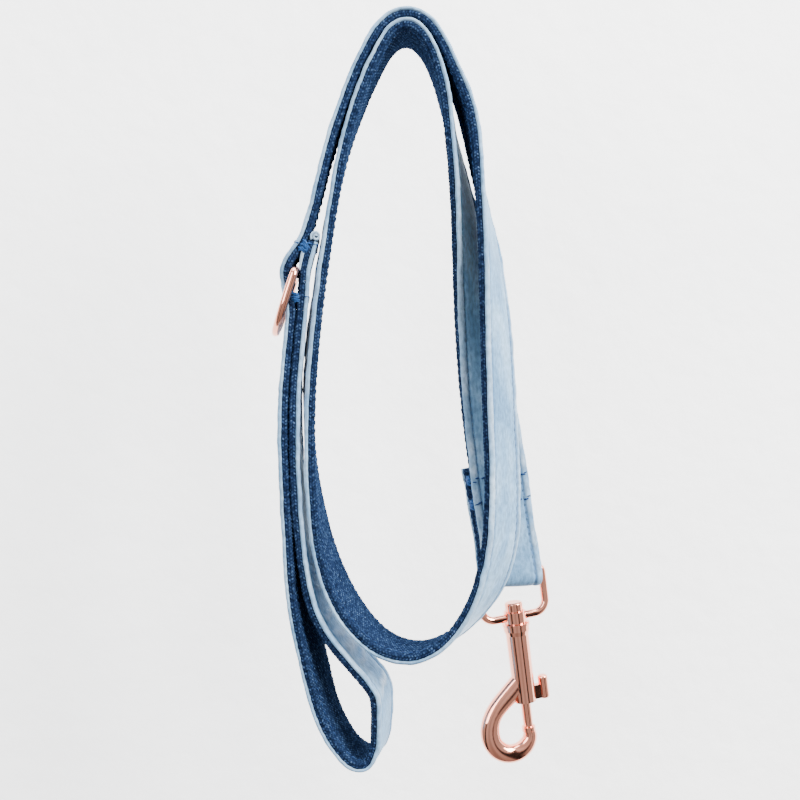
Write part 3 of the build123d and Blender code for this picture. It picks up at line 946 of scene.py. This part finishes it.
# ---------------------------------------------------------------- stage, lights, camera
def wall_material():
    """Pale plaster, seen only from its front."""
    material, nodes, links = new_material("plaster")
    shader = nodes["Principled BSDF"]
    place = node(nodes, "ShaderNodeNewGeometry")
    clouds = noise(nodes, links, place.outputs["Position"], 7, 5)
    grit = noise(nodes, links, place.outputs["Position"], 60, 6)
    links.new(
        ramp(nodes, links, clouds, [(0.3, (0.80, 0.81, 0.82)), (0.7, (0.86, 0.86, 0.86))]),
        shader.inputs["Base Color"],
    )
    links.new(bumped(nodes, links, grit, 0.25, 5 * MM), shader.inputs["Normal"])
    shader.inputs["Roughness"].default_value = 0.9
    shader.inputs["Emission Color"].default_value = (1, 1, 1, 1)
    shader.inputs["Emission Strength"].default_value = WALL_GLOW
    clear = nodes.new("ShaderNodeBsdfTransparent")
    choice = nodes.new("ShaderNodeMixShader")
    links.new(place.outputs["Backfacing"], choice.inputs["Fac"])
    links.new(shader.outputs["BSDF"], choice.inputs[1])
    links.new(clear.outputs["BSDF"], choice.inputs[2])
    links.new(choice.outputs["Shader"], nodes["Material Output"].inputs["Surface"])
    return material


WORLD_STRENGTH = 1.05
WALL_GLOW = 1.85
WALL_Y = 0.115
WALL_HALF = 1.2
CAMERA_PLACE = (-0.0036, -0.4125, -0.1492)
LEAD_MIDDLE = (0, 0, -0.15)  # where the lights are aimed


def wall():
    """A plain wall behind the lead, as a backdrop."""
    corners = [
        (-WALL_HALF, -WALL_HALF), (WALL_HALF, -WALL_HALF), (WALL_HALF, WALL_HALF),
        (-WALL_HALF, WALL_HALF),
    ]
    mesh = bpy.data.meshes.new("wall")
    mesh.from_pydata([(x, WALL_Y, z) for x, z in corners], [], [(0, 1, 2, 3)])
    mesh.materials.append(wall_material())
    backdrop = bpy.data.objects.new("wall", mesh)
    bpy.context.scene.collection.objects.link(backdrop)


def area_light(name, place, size, power, colour=(1, 1, 1)):
    """A rectangular light aimed at the lead."""
    light = bpy.data.lights.new(name, "AREA")
    light.shape = "RECTANGLE"
    light.size, light.size_y = size
    light.energy = power
    light.color = colour
    lamp = bpy.data.objects.new(name, light)
    lamp.location = place
    lamp.rotation_mode = "QUATERNION"
    lamp.rotation_quaternion = (Vector(LEAD_MIDDLE) - Vector(place)).to_track_quat("-Z", "Y")
    bpy.context.scene.collection.objects.link(lamp)


def world():
    """Soft light from all round, a little darker below, with dark upright bands."""
    sky = bpy.data.worlds.new("studio")
    sky.use_nodes = True
    nodes, links = sky.node_tree.nodes, sky.node_tree.links
    direction = nodes.new("ShaderNodeTexCoord").outputs["Generated"]
    split = nodes.new("ShaderNodeSeparateXYZ")
    links.new(direction, split.inputs["Vector"])
    height = ramp(nodes, links, span(nodes, links, split.outputs["Z"], -1, 1), [
        (0.0, (0.40, 0.37, 0.35)), (0.45, (0.70, 0.71, 0.73)), (0.7, (1.0, 1.0, 1.0)),
    ])
    # upright bands, light and dark, that polished rods reflect as streaks
    bands = ramp(nodes, links, span(nodes, links, split.outputs["X"], -1, 1), [
        (0.0, 0.8), (0.14, 0.9), (0.18, 0.06), (0.23, 0.06), (0.28, 1.0), (0.40, 1.0),
        (0.45, 0.75), (0.57, 0.75), (0.62, 1.0), (0.72, 1.0), (0.76, 0.04), (0.81, 0.04),
        (0.86, 0.9), (1.0, 0.8),
    ])
    colour = mixed(nodes, links, 1.0, height, bands, "MULTIPLY")
    links.new(colour, nodes["Background"].inputs["Color"])
    nodes["Background"].inputs["Strength"].default_value = WORLD_STRENGTH
    bpy.context.scene.world = sky


def camera():
    """Level, and square to the wall."""
    data = bpy.data.cameras.new("camera")
    data.lens = 45
    data.sensor_width = 36
    data.clip_start = 0.01
    viewer = bpy.data.objects.new("camera", data)
    viewer.location = CAMERA_PLACE
    viewer.rotation_euler = (math.radians(90), 0, 0)
    bpy.context.scene.collection.objects.link(viewer)
    bpy.context.scene.camera = viewer


camera()
wall()
world()
area_light("key", (0.88, -0.52, 0.38), (0.5, 0.8), 46, (1.0, 0.99, 0.97))
area_light("fill", (-0.60, -0.80, 0.20), (0.5, 1.0), 15, (0.97, 0.985, 1.0))
area_light("top", (0.0, -0.15, 0.75), (0.9, 0.5), 12)
